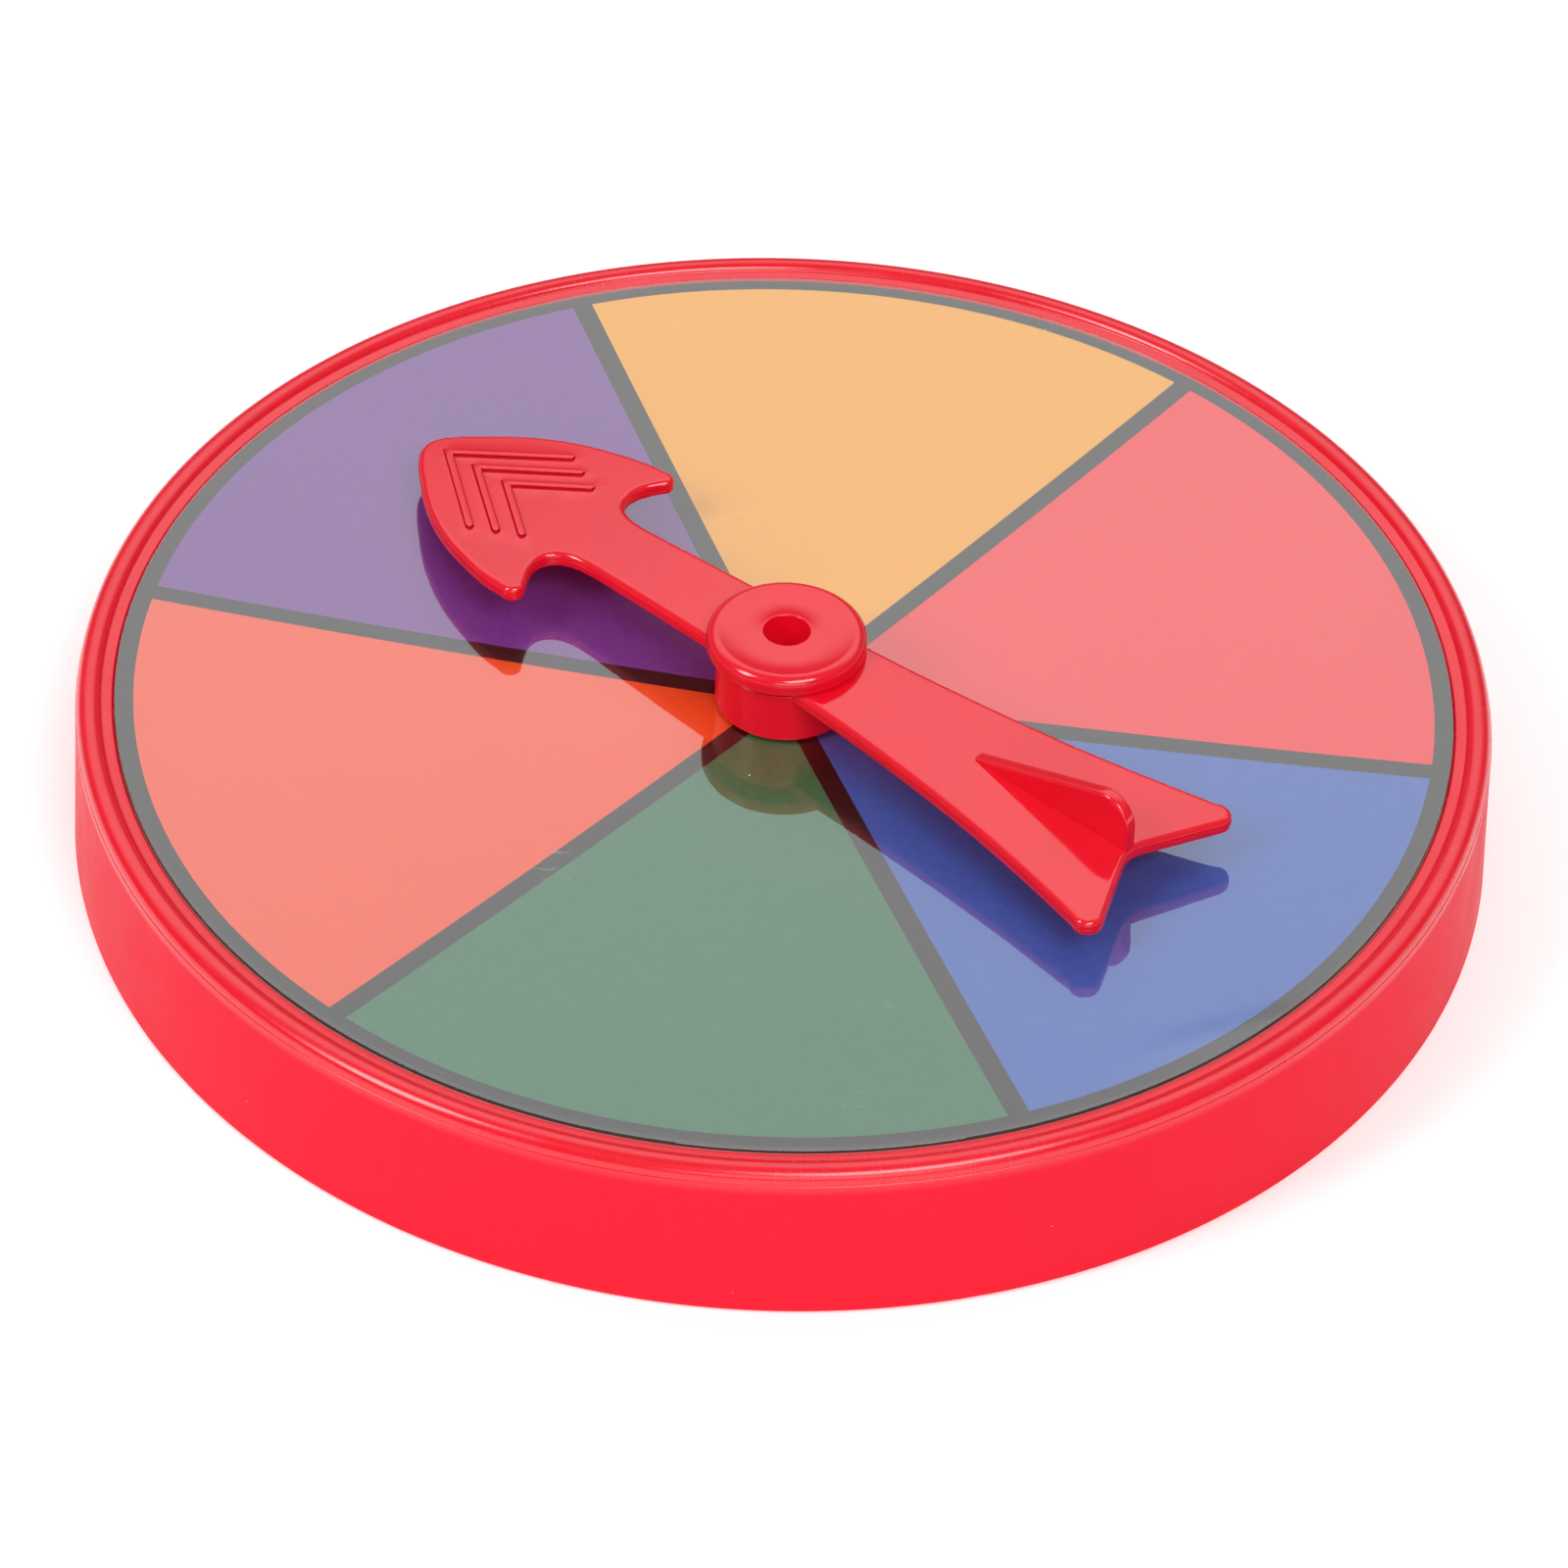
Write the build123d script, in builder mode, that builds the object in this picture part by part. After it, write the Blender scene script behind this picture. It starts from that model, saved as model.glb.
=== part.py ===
from build123d import *
import math
import os

# Board-game spinner: a round moulded tray with a dished top, a printed sector
# card and a clear film laid in it, and a pointer that turns on a snap pin.
# Millimetres, +Z up, origin at the middle of the tray's foot ring.

os.makedirs("parts", exist_ok=True)

# ---------------------------------------------------------------- dimensions
# tray
foot_radius = 51.0          # outer radius where the tray stands
wall_top_radius = 50.46     # outer radius at the top of the drafted wall
wall_thickness = 1.6
crest_radius = 49.45        # top of the rounded rim bead
crest_height = 12.45
crease_radius = 48.66       # inner foot of the bead
ledge_height = 11.93        # flat ledge inside the bead
recess_radius = 47.85       # wall of the recess that holds card and film
plate_thickness = 1.6       # tray top plate
boss_radius = 4.7
boss_bottom = 4.6
boss_bore = 2.42
gusset_count = 6
gusset_thickness = 1.0
gusset_reach = 12.5

# dish: the card and the film follow the tray's shallow dish
disc_radius = 47.7
disc_hole = 2.9
disc_plane = 12.0           # film top at the printed ring's inner edge
land_radius = 6.0           # flat land round the pivot
land_drop = -1.53
mid_radius = 25.0
mid_drop = -1.02
edge_rise = 0.075
film_thickness = 0.3
card_thickness = 0.5

# pointer
pointer_angle = 140.1       # rest direction, counter-clockwise from +X
plate_top = 15.25           # pointer plate top at the hub
pointer_thickness = 1.15
head_droop = 0.84           # fall of the plate at 34 mm from the hub
tail_droop = 0.44
blade_offset = -0.28        # the blade's centreline runs this far beside the pivot
drum_radius = 5.0
drum_bottom = 10.60
pointer_bore = 2.46
rib_width = 0.56
rib_height = 0.25
fin_thickness = 1.0
fin_start = -17.6
fin_end = -31.25
fin_start_height = 0.12     # above the plate where the fin begins
fin_end_z = 19.60           # top line carried to the fin's end, before the corner round
fin_corner = 2.2

# pivot pin
pin_head_radius = 5.72
pin_head_bottom = 15.37
pin_head_foot_round = 0.12
pin_head_top = 16.78
pin_head_round = 0.75
pin_stem_radius = 2.40
pin_core_radius = 1.65
pin_barb_radius = 2.95
pin_barb_top = 4.50
pin_bottom = 2.2
pin_slot_width = 0.9
pin_slot_top = 8.5


def dish_arc(offset):
    """Dish profile from the central land to the disc's edge, lowered by offset."""
    return (
        (land_radius, disc_plane + land_drop - offset),
        (mid_radius, disc_plane + mid_drop - offset),
        (disc_radius, disc_plane + edge_rise - offset),
    )


def fall(u):
    """Fall of the pointer plate at distance u from the hub (u < 0 is the tail)."""
    return (head_droop if u > 0 else tail_droop) * (u / 34.0) ** 2


# ---------------------------------------------------------------- base tray
floor_in, floor_mid, floor_out = dish_arc(film_thickness + card_thickness)
under_in, under_mid, under_out = dish_arc(
    film_thickness + card_thickness + plate_thickness
)

with BuildPart() as base_tray:
    with BuildSketch(Plane.XZ) as tray_section:
        with BuildLine():
            Polyline(
                (boss_bore, floor_in[1]),
                floor_in,
            )
            ThreePointArc(floor_in, floor_mid, floor_out)
            Polyline(
                floor_out,
                (recess_radius, floor_out[1]),
                (recess_radius, ledge_height),
                (crease_radius, ledge_height + 0.05),
            )
            ThreePointArc(
                (crease_radius, ledge_height + 0.05),
                (crease_radius + 0.28, crest_height - 0.11),
                (crest_radius, crest_height),
            )
            ThreePointArc(
                (crest_radius, crest_height),
                (wall_top_radius - 0.30, crest_height - 0.29),
                (wall_top_radius, crest_height - 1.05),
            )
            Polyline(
                (wall_top_radius, crest_height - 1.05),
                (foot_radius, 0.35),
                (foot_radius - 0.35, 0.0),
                (foot_radius - wall_thickness + 0.25, 0.0),
                (foot_radius - wall_thickness, 0.25),
                (wall_top_radius - wall_thickness - 0.05, 8.4),
            )
            ThreePointArc(
                (wall_top_radius - wall_thickness - 0.05, 8.4),
                (wall_top_radius - wall_thickness - 0.40, 9.25),
                (disc_radius, under_out[1]),
            )
            ThreePointArc((disc_radius, under_out[1]), under_mid, under_in)
            Polyline(
                under_in,
                (boss_radius + 0.4, under_in[1]),
                (boss_radius, under_in[1] - 0.4),
                (boss_radius - 0.15, boss_bottom),
                (boss_bore + 0.25, boss_bottom),
                (boss_bore, boss_bottom + 0.25),
                (boss_bore, floor_in[1]),
            )
        make_face()
    revolve(axis=Axis.Z)
    # triangular gussets tie the boss to the underside of the plate
    for k in range(gusset_count):
        a = math.radians(30 + 360 / gusset_count * k)
        web = Plane(
            origin=(0, 0, 0),
            x_dir=(math.cos(a), math.sin(a), 0),
            z_dir=(math.sin(a), -math.cos(a), 0),
        )
        with BuildSketch(web):
            with BuildLine():
                Polyline(
                    (boss_radius - 1.2, under_in[1] + 0.6),
                    (gusset_reach, under_in[1] + 0.6),
                    (gusset_reach, under_in[1] - 0.2),
                    (boss_radius - 0.1, boss_bottom + 0.8),
                    (boss_radius - 1.2, boss_bottom + 0.8),
                    close=True,
                )
            make_face()
        extrude(amount=gusset_thickness / 2, both=True)
base_tray.part.label = "base_tray"

# -------------------------------------------------------- printed sector card
card_lo = dish_arc(film_thickness + card_thickness)
card_hi = dish_arc(film_thickness)
with BuildPart() as sector_card:
    with BuildSketch(Plane.XZ):
        with BuildLine():
            Line((disc_hole, card_lo[0][1]), card_lo[0])
            ThreePointArc(*card_lo)
            Line(card_lo[2], card_hi[2])
            ThreePointArc(card_hi[2], card_hi[1], card_hi[0])
            Line(card_hi[0], (disc_hole, card_hi[0][1]))
            Line((disc_hole, card_hi[0][1]), (disc_hole, card_lo[0][1]))
        make_face()
    revolve(axis=Axis.Z)
sector_card.part.label = "sector_card"

# ------------------------------------------------------------ clear film disc
film_lo = dish_arc(film_thickness)
film_hi = dish_arc(0)
with BuildPart() as clear_film:
    with BuildSketch(Plane.XZ):
        with BuildLine():
            Line((disc_hole, film_lo[0][1]), film_lo[0])
            ThreePointArc(*film_lo)
            Line(film_lo[2], film_hi[2])
            ThreePointArc(film_hi[2], film_hi[1], film_hi[0])
            Line(film_hi[0], (disc_hole, film_hi[0][1]))
            Line((disc_hole, film_hi[0][1]), (disc_hole, film_lo[0][1]))
        make_face()
    revolve(axis=Axis.Z)
clear_film.part.label = "clear_film"

# -------------------------------------------------------------------- pointer
ang = math.radians(pointer_angle)
along = (math.cos(ang), math.sin(ang), 0)
blade_origin = (-math.sin(ang) * blade_offset, math.cos(ang) * blade_offset, 0)
top_view = Plane(origin=blade_origin, x_dir=along, z_dir=(0, 0, 1))
side_view = Plane(
    origin=blade_origin, x_dir=along, z_dir=(math.sin(ang), -math.cos(ang), 0)
)

# half outline, from the tip back to the tail notch; the two barbs differ a little
tip_curve = [(35.55, 0.0), (35.28, 1.0), (34.55, 1.95), (33.30, 3.12)]
flank_curve = [
    (33.30, 3.12),
    (31.45, 4.68),
    (28.20, 6.76),
    (25.90, 7.74),
    (23.50, 8.45),
    (21.30, 8.92),
]
# per side: end of the flank, the barb's round as two more points, then the hook
barbs = {
    1: (
        [(19.52, 9.00), (18.55, 8.62), (18.42, 7.86)],
        [(18.98, 6.95), (19.50, 6.02), (19.74, 5.03), (19.44, 4.06)],
    ),
    -1: (
        [(19.80, 9.05), (18.86, 8.74), (18.74, 8.00)],
        [(19.32, 7.10), (19.78, 6.10), (19.88, 5.05), (19.50, 4.05)],
    ),
}
hook_end = [(18.65, 3.38), (17.50, 3.06), (15.50, 3.00)]
tail_curve = [
    (-4.30, 3.75),
    (-11.0, 4.30),
    (-16.5, 4.95),
    (-20.5, 5.52),
    (-24.5, 6.22),
    (-28.5, 7.04),
    (-32.55, 7.95),
]


def bow_band(top, bottom):
    """Side outline of a band that follows the pointer's bow, as three points lists."""
    ends = (-38.0, 38.0)
    upper = [(u, plate_top + top - fall(u)) for u in (ends[0], ends[0] / 2, 0)]
    upper2 = [(u, plate_top + top - fall(u)) for u in (0, ends[1] / 2, ends[1])]
    lower = [(u, z - (top - bottom)) for u, z in upper]
    lower2 = [(u, z - (top - bottom)) for u, z in upper2]
    return upper, upper2, lower, lower2


with BuildPart() as chevrons:
    # three V ribs that point to the tip, standing proud of the plate
    with BuildSketch(top_view.offset(plate_top - 4)):
        for apex, end_u, end_v in (
            (33.35, 26.07, 5.44),
            (30.50, 24.30, 4.54),
            (27.53, 22.52, 3.69),
        ):
            arm = math.hypot(apex - end_u, end_v)
            tilt = math.degrees(math.atan2(end_v, end_u - apex))
            for side in (1, -1):
                with Locations(
                    Location(
                        ((apex + end_u) / 2, side * end_v / 2, 0), (0, 0, side * tilt)
                    )
                ):
                    SlotCenterToCenter(arm, rib_width)
    extrude(amount=6)
    u1, u2, l1, l2 = bow_band(rib_height, -0.6)
    with BuildSketch(side_view):
        with BuildLine():
            ThreePointArc(*u1)
            ThreePointArc(*u2)
            Line(u2[2], l2[2])
            ThreePointArc(l2[2], l2[1], l2[0])
            ThreePointArc(l1[2], l1[1], l1[0])
            Line(l1[0], u1[0])
        make_face()
    extrude(amount=12, both=True, mode=Mode.INTERSECT)

with BuildPart() as pointer:
    with BuildSketch(top_view.offset(plate_top - 5)):
        with BuildLine():
            for side, (barb, hook) in barbs.items():

                def pt(p, side=side):
                    return (p[0], side * p[1])

                Spline(
                    *[pt(p) for p in tip_curve],
                    tangents=[(0, side), pt((-0.76, 0.65))],
                )
                Spline(
                    *[pt(p) for p in flank_curve + barb[:1]],
                    tangents=[pt((-0.76, 0.65)), pt((-1, 0.04))],
                )
                ThreePointArc(*[pt(p) for p in barb])
                Spline(
                    *[pt(p) for p in barb[-1:] + hook + hook_end],
                    tangents=[pt((0.42, -0.60)), pt((-1, 0.02))],
                )
                Line(pt((15.50, 3.00)), pt((-4.30, 3.75)))
                Spline(
                    *[pt(p) for p in tail_curve],
                    tangents=[pt((-1, 0.06)), pt((-1, 0.22))],
                )
                ThreePointArc(*[pt(p) for p in [(-32.55, 7.95), (-34.08, 7.72), (-34.22, 6.60)]])
                Line(pt((-34.22, 6.60)), pt((-31.80, 1.50)))
                ThreePointArc(*[pt(p) for p in [(-31.80, 1.50), (-31.43, 0.60), (-31.32, 0.0)]])
        make_face()
    extrude(amount=8)
    u1, u2, l1, l2 = bow_band(0, -pointer_thickness)
    with BuildSketch(side_view):
        with BuildLine():
            ThreePointArc(*u1)
            ThreePointArc(*u2)
            Line(u2[2], l2[2])
            ThreePointArc(l2[2], l2[1], l2[0])
            ThreePointArc(l1[2], l1[1], l1[0])
            Line(l1[0], u1[0])
        make_face()
    extrude(amount=12, both=True, mode=Mode.INTERSECT)
    # hub drum under the plate, carried up into it
    with BuildSketch(Plane.XY.offset(drum_bottom)):
        Circle(drum_radius)
    extrude(amount=plate_top - pointer_thickness / 2 - drum_bottom)
    # upright fin on the tail
    with BuildSketch(side_view) as fin_section:
        with BuildLine():
            fin_line = Polyline(
                (fin_start, plate_top - fall(fin_start) - 0.6),
                (fin_start, plate_top - fall(fin_start) + fin_start_height),
                (fin_end, fin_end_z),
                (fin_end, plate_top - fall(fin_end) - pointer_thickness + 0.2),
                close=True,
            )
        make_face()
        fillet(fin_section.vertices().sort_by(Axis.Y)[-1], fin_corner)
    extrude(amount=fin_thickness / 2, both=True)
    add(chevrons.part)
    # bore for the pin
    with BuildSketch(Plane.XY.offset(drum_bottom - 1)):
        Circle(pointer_bore)
    extrude(amount=8, mode=Mode.SUBTRACT)
pointer.part.label = "pointer"

# ------------------------------------------------------------------ pivot pin
with BuildPart() as pivot_pin:
    with BuildSketch(Plane.XZ):
        with BuildLine():
            Polyline(
                (pin_core_radius, pin_bottom),
                (pin_stem_radius - 0.35, pin_bottom),
                (pin_barb_radius, pin_barb_top - 0.7),
                (pin_barb_radius, pin_barb_top),
                (pin_stem_radius, pin_barb_top),
                (pin_stem_radius, pin_head_bottom),
                (pin_head_radius - pin_head_foot_round, pin_head_bottom),
                (pin_head_radius, pin_head_bottom + pin_head_foot_round),
                (pin_head_radius, pin_head_top - pin_head_round),
            )
            ThreePointArc(
                (pin_head_radius, pin_head_top - pin_head_round),
                (
                    pin_head_radius - pin_head_round * (1 - math.sqrt(0.5)),
                    pin_head_top - pin_head_round * (1 - math.sqrt(0.5)),
                ),
                (pin_head_radius - pin_head_round, pin_head_top),
            )
            # shallow dish in the head, then a slight lip round the core hole
            ThreePointArc(
                (pin_head_radius - pin_head_round, pin_head_top),
                (3.3, pin_head_top - 0.16),
                (pin_core_radius + 0.12, pin_head_top - 0.06),
            )
            Polyline(
                (pin_core_radius + 0.12, pin_head_top - 0.06),
                (pin_core_radius, pin_head_top - 0.16),
                (pin_core_radius, pin_bottom),
            )
        make_face()
    revolve(axis=Axis.Z)
    # two crossing slots split the end into four snap legs
    for turn in (0, 90):
        with BuildSketch(Plane.XY.offset(pin_bottom - 1)):
            Rectangle(12, pin_slot_width, rotation=turn)
        extrude(amount=pin_slot_top - pin_bottom + 1, mode=Mode.SUBTRACT)
pivot_pin.part.label = "pivot_pin"

# --------------------------------------------------------------------- output
for piece in (base_tray, sector_card, clear_film, pointer, pivot_pin):
    export_step(piece.part, f"parts/{piece.part.label}.step")
    box = piece.part.bounding_box()
    print(
        piece.part.label,
        "volume",
        round(piece.part.volume, 1),
        "valid",
        piece.part.is_valid,
        "z",
        round(box.min.Z, 2),
        round(box.max.Z, 2),
    )
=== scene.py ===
import math

import bmesh
import bpy
import numpy as np
from mathutils import Matrix, Vector
from mathutils.geometry import delaunay_2d_cdt


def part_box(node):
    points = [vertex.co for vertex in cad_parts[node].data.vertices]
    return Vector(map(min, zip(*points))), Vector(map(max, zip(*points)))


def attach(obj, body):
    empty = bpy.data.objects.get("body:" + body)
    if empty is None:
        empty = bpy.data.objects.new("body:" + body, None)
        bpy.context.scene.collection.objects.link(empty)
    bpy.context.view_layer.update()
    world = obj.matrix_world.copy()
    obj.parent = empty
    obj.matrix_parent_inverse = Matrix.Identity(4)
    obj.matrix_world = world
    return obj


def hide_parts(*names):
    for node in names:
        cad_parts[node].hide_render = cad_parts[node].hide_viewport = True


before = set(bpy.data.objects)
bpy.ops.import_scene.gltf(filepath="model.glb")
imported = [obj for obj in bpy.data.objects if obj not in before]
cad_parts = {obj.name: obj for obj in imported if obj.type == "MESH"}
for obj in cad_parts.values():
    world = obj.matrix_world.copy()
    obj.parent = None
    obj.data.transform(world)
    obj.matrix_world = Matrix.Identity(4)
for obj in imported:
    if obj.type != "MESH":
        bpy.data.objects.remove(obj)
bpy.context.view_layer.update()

MM = 0.001
TAU = 2 * math.pi
scene = bpy.context.scene


def box_mm(node):
    lo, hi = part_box(node)
    return Vector(lo) / MM, Vector(hi) / MM


tray_lo, tray_hi = box_mm("base_tray")
card_lo, card_hi = box_mm("sector_card")
film_lo, film_hi = box_mm("clear_film")
arrow_lo, arrow_hi = box_mm("pointer")
pin_lo, pin_hi = box_mm("pivot_pin")

FOOT_R = tray_hi.x                    # outer radius at the foot
CREST_Z = tray_hi.z                   # top of the rim bead
DISC_R = film_hi.x                    # card and film radius
DISC_Z = film_hi.z - 0.075            # film height at the printed ring
CARD_DROP = film_hi.z - card_hi.z     # film thickness
CARD_T = 0.5
HOLE_R = 2.9
PRINT_C = (0.0, 0.33)                 # the print sits a little off the disc's middle
RING_IN = 46.4                        # inner radius of the printed ring
LINE_W = 1.5                          # width of the printed dividers
PLATE_TOP = arrow_hi.z - 3.540        # the fin stands this far above the plate at the hub
DRUM_Z = arrow_lo.z
PIN_TOP = pin_hi.z
PIN_R = pin_hi.x

# ------------------------------------------------------------------ camera
ELEV = 0.722104
ROLL = 0.0361725
fwd = Vector((0, math.cos(ELEV), -math.sin(ELEV)))
right = Vector((1, 0, 0))
upv = Vector((0, math.sin(ELEV), math.cos(ELEV)))
right2 = right * math.cos(ROLL) + upv * math.sin(ROLL)
upv2 = -right * math.sin(ROLL) + upv * math.cos(ROLL)
cam_data = bpy.data.cameras.new("camera")
cam = bpy.data.objects.new("camera", cam_data)
scene.collection.objects.link(cam)
rot = Matrix((right2, upv2, -fwd)).transposed().to_4x4()
cam.matrix_world = Matrix.Translation(Vector((0.19, -345.26 + PRINT_C[1], 305.98)) * MM) @ rot
cam_data.sensor_fit = "HORIZONTAL"
cam_data.sensor_width = 36.0
cam_data.lens = 6474.84 / 1600 * 36.0
cam_data.clip_start = 0.005
cam_data.clip_end = 50
scene.camera = cam

# ------------------------------------------------------------- mesh helpers


def new_object(name, bm, sharp=32.0):
    bmesh.ops.remove_doubles(bm, verts=bm.verts, dist=1e-5)
    bmesh.ops.recalc_face_normals(bm, faces=bm.faces)
    for v in bm.verts:
        v.co *= MM
    me = bpy.data.meshes.new(name)
    bm.to_mesh(me)
    bm.free()
    me.polygons.foreach_set("use_smooth", [True] * len(me.polygons))
    me.set_sharp_from_angle(angle=math.radians(sharp))
    ob = bpy.data.objects.new(name, me)
    scene.collection.objects.link(ob)
    return ob


def fillet(points, radii, steps=5):
    """Closed 2-D outline with its corners rounded; radii of 0 keep a corner."""
    out = []
    n = len(points)
    for i, p in enumerate(points):
        p = Vector(p)
        a = Vector(points[i - 1])
        b = Vector(points[(i + 1) % n])
        r = radii[i] if isinstance(radii, (list, tuple)) else radii
        da, db = (a - p), (b - p)
        if r <= 0 or da.length < 1e-6 or db.length < 1e-6:
            out.append((p.x, p.y))
            continue
        da.normalize()
        db.normalize()
        half = da.angle(db) / 2
        if half > math.radians(87):
            out.append((p.x, p.y))
            continue
        reach = r / math.tan(half)
        centre = p + (da + db).normalized() * (r / math.sin(half))
        s, e = p + da * reach - centre, p + db * reach - centre
        sweep = math.atan2(s.x * e.y - s.y * e.x, s.dot(e))
        a0 = math.atan2(s.y, s.x)
        for k in range(steps + 1):
            t = a0 + sweep * k / steps
            out.append((centre.x + r * math.cos(t), centre.y + r * math.sin(t)))
    return out


def held(points, keep=0.05, longest=0.25):
    """Adds a point just inside each end of every long side, so smooth shading stays tight."""
    out = []
    n = len(points)
    for i, p in enumerate(points):
        a, b = Vector(p), Vector(points[(i + 1) % n])
        out.append((a.x, a.y))
        d = b - a
        if d.length > longest:
            u = d.normalized() * keep
            out.append(tuple(a + u))
            out.append(tuple(b - u))
    return out


def arc3(p, q, r, n):
    """Points of the circular arc p-q-r, both ends included."""
    (ax, ay), (bx, by), (cx, cy) = p, q, r
    d = 2 * (ax * (by - cy) + bx * (cy - ay) + cx * (ay - by))
    ux = ((ax**2 + ay**2) * (by - cy) + (bx**2 + by**2) * (cy - ay) + (cx**2 + cy**2) * (ay - by)) / d
    uy = ((ax**2 + ay**2) * (cx - bx) + (bx**2 + by**2) * (ax - cx) + (cx**2 + cy**2) * (bx - ax)) / d
    a0 = math.atan2(ay - uy, ax - ux)
    a1 = math.atan2(by - uy, bx - ux)
    a2 = math.atan2(cy - uy, cx - ux)
    s2 = (a2 - a0) % TAU
    if (a1 - a0) % TAU > s2:
        s2 -= TAU
    rad = math.hypot(ax - ux, ay - uy)
    return [
        (ux + rad * math.cos(a0 + s2 * k / n), uy + rad * math.sin(a0 + s2 * k / n))
        for k in range(n + 1)
    ]


def lathe(bm, profile, segs, phase=0.0):
    rings = []
    for r, z in profile:
        rings.append(
            [
                bm.verts.new((r * math.cos(TAU * k / segs + phase), r * math.sin(TAU * k / segs + phase), z))
                for k in range(segs)
            ]
        )
    n = len(rings)
    for i in range(n):
        a, b = rings[i], rings[(i + 1) % n]
        for k in range(segs):
            j = (k + 1) % segs
            bm.faces.new((a[k], a[j], b[j], b[k]))
    return rings


def boolean(target, tool, operation):
    m = target.modifiers.new("cut", "BOOLEAN")
    m.object = tool
    m.operation = operation
    m.solver = "EXACT"
    dg = bpy.context.evaluated_depsgraph_get()
    me = bpy.data.meshes.new_from_object(target.evaluated_get(dg))
    target.modifiers.remove(m)
    old = target.data
    target.data = me
    bpy.data.meshes.remove(old)
    tool_mesh = tool.data
    bpy.data.objects.remove(tool)
    bpy.data.meshes.remove(tool_mesh)


def finish_shading(ob, name, sharp=32.0):
    me = ob.data
    me.name = name
    bm = bmesh.new()
    bm.from_mesh(me)
    bmesh.ops.remove_doubles(bm, verts=bm.verts, dist=2e-8)
    bmesh.ops.dissolve_degenerate(bm, edges=bm.edges, dist=2e-8)
    bmesh.ops.recalc_face_normals(bm, faces=bm.faces)
    bm.to_mesh(me)
    bm.free()
    me.polygons.foreach_set("use_smooth", [True] * len(me.polygons))
    me.set_sharp_from_angle(angle=math.radians(sharp))


# ---------------------------------------------------------------- materials
def srgb(r, g, b):
    def lin(c):
        c /= 255.0
        return c / 12.92 if c <= 0.04045 else ((c + 0.055) / 1.055) ** 2.4

    return (lin(r), lin(g), lin(b), 1.0)


class Nodes:
    """A short way to write a material's node tree."""

    def __init__(self, name):
        self.mat = bpy.data.materials.new(name)
        self.mat.use_nodes = True
        self.nt = self.mat.node_tree
        self.nt.nodes.clear()
        self.out = self.add("ShaderNodeOutputMaterial")
        self.bsdf = self.add("ShaderNodeBsdfPrincipled")
        self.link(self.bsdf.outputs[0], self.out.inputs["Surface"])
        self.coord = self.add("ShaderNodeTexCoord").outputs["Object"]

    def add(self, kind, **props):
        n = self.nt.nodes.new(kind)
        for k, v in props.items():
            setattr(n, k, v)
        return n

    def link(self, a, b):
        self.nt.links.new(a, b)

    def put(self, socket, value):
        if hasattr(value, "is_output"):
            self.link(value, socket)
        else:
            socket.default_value = value

    def math(self, op, a, b=None, c=None, clamp=False):
        n = self.add("ShaderNodeMath", operation=op, use_clamp=clamp)
        self.put(n.inputs[0], a)
        if b is not None:
            self.put(n.inputs[1], b)
        if c is not None:
            self.put(n.inputs[2], c)
        return n.outputs[0]

    def noise(self, vector, scale, detail=3.0, rough=0.5, out="Fac"):
        n = self.add("ShaderNodeTexNoise")
        self.put(n.inputs["Vector"], vector)
        self.put(n.inputs["Scale"], scale)
        self.put(n.inputs["Detail"], detail)
        self.put(n.inputs["Roughness"], rough)
        return n.outputs[out]

    def ramp(self, fac, low, high, a=0.0, b=1.0):
        n = self.add("ShaderNodeMapRange", clamp=True)
        self.put(n.inputs["Value"], fac)
        n.inputs["From Min"].default_value = low
        n.inputs["From Max"].default_value = high
        n.inputs["To Min"].default_value = a
        n.inputs["To Max"].default_value = b
        return n.outputs[0]

    def mix(self, fac, a, b):
        n = self.add("ShaderNodeMix", data_type="RGBA")
        self.put(n.inputs[0], fac)
        self.put(n.inputs[6], a)
        self.put(n.inputs[7], b)
        return n.outputs[2]

    def scaled(self, vector, s):
        n = self.add("ShaderNodeVectorMath", operation="MULTIPLY")
        self.put(n.inputs[0], vector)
        n.inputs[1].default_value = s
        return n.outputs[0]

    def polar(self):
        """Angle in radians, radius and height of the shaded point, in metres."""
        sep = self.add("ShaderNodeSeparateXYZ")
        self.link(self.coord, sep.inputs[0])
        x, y, z = sep.outputs
        ang = self.math("ARCTAN2", y, x)
        rad = self.math("SQRT", self.math("ADD", self.math("MULTIPLY", x, x), self.math("MULTIPLY", y, y)))
        return ang, rad, z

    def vec(self, x, y, z):
        n = self.add("ShaderNodeCombineXYZ")
        self.put(n.inputs[0], x)
        self.put(n.inputs[1], y)
        self.put(n.inputs[2], z)
        return n.outputs[0]

    def specks(self, cell, radius, share, seed=0.0):
        """Sparse round dust specks: 1 on a speck, 0 elsewhere. Sizes in metres."""
        v = self.add("ShaderNodeTexVoronoi", voronoi_dimensions="3D", feature="F1")
        shifted = self.add("ShaderNodeVectorMath", operation="ADD")
        self.put(shifted.inputs[0], self.coord)
        shifted.inputs[1].default_value = (seed, seed * 0.7, -seed)
        self.link(shifted.outputs[0], v.inputs["Vector"])
        v.inputs["Scale"].default_value = 1.0 / cell
        sep = self.add("ShaderNodeSeparateColor")
        self.link(v.outputs["Color"], sep.inputs[0])
        near = self.ramp(v.outputs["Distance"], radius / cell * 0.6, radius / cell, 1.0, 0.0)
        pick = self.math("GREATER_THAN", sep.outputs[0], 1.0 - share)
        return self.math("MULTIPLY", near, pick)

    def bump(self, height, distance, strength=1.0, under=None):
        n = self.add("ShaderNodeBump")
        n.inputs["Strength"].default_value = strength
        n.inputs["Distance"].default_value = distance
        self.put(n.inputs["Height"], height)
        if under is not None:
            self.link(under, n.inputs["Normal"])
        return n.outputs[0]


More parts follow.
